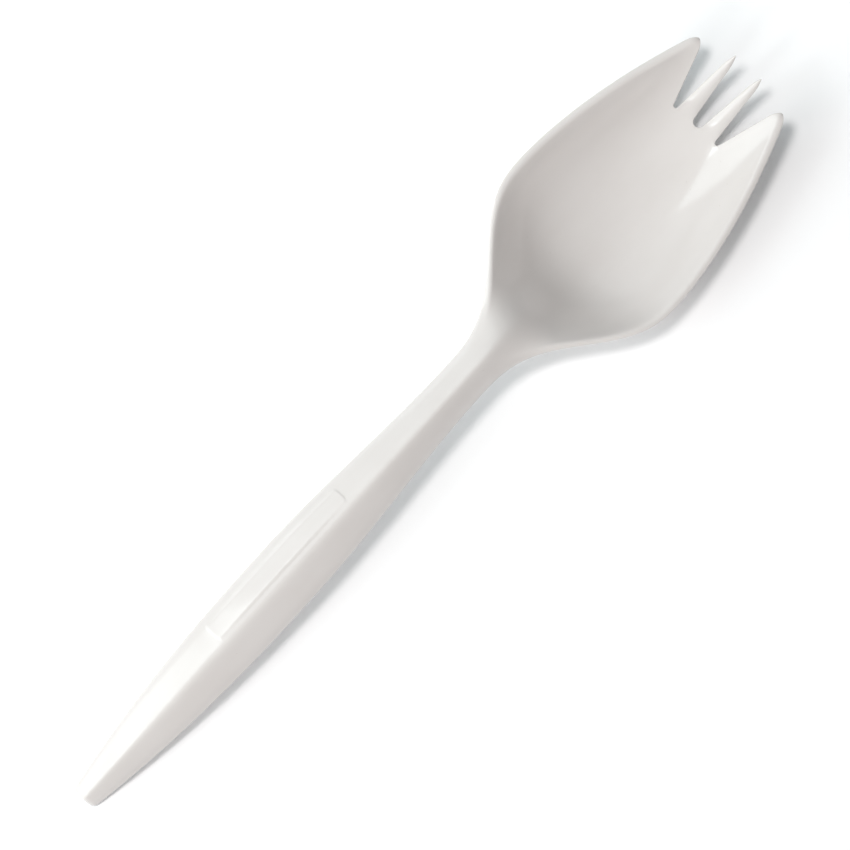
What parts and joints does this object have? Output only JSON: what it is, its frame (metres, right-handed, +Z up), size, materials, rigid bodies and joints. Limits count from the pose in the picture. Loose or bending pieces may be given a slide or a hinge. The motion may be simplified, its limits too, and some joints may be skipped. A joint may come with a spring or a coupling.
{
  "type": "spork",
  "caption": "White moulded disposable spork: a spoon bowl whose front is cut into pointed tines, on a ridged, hollow, arched handle.",
  "frame": {"origin": "on the table that the spork lies on, under the middle of its length and width", "axes": "+X along the spork from the handle's end to the tines, +Y to the left when looking along +X, +Z up out of the bowl"},
  "size_m": [0.146, 0.0318, 0.0129],
  "materials": {
    "white_plastic": "smooth warm white injection-moulded plastic with a soft gloss"
  },
  "bodies": {
    "root": {"handle": "white_plastic", "neck": "white_plastic", "bowl": "white_plastic", "left_outer_tine": "white_plastic", "left_inner_tine": "white_plastic", "right_inner_tine": "white_plastic", "right_outer_tine": "white_plastic"}
  },
  "joints": []
}
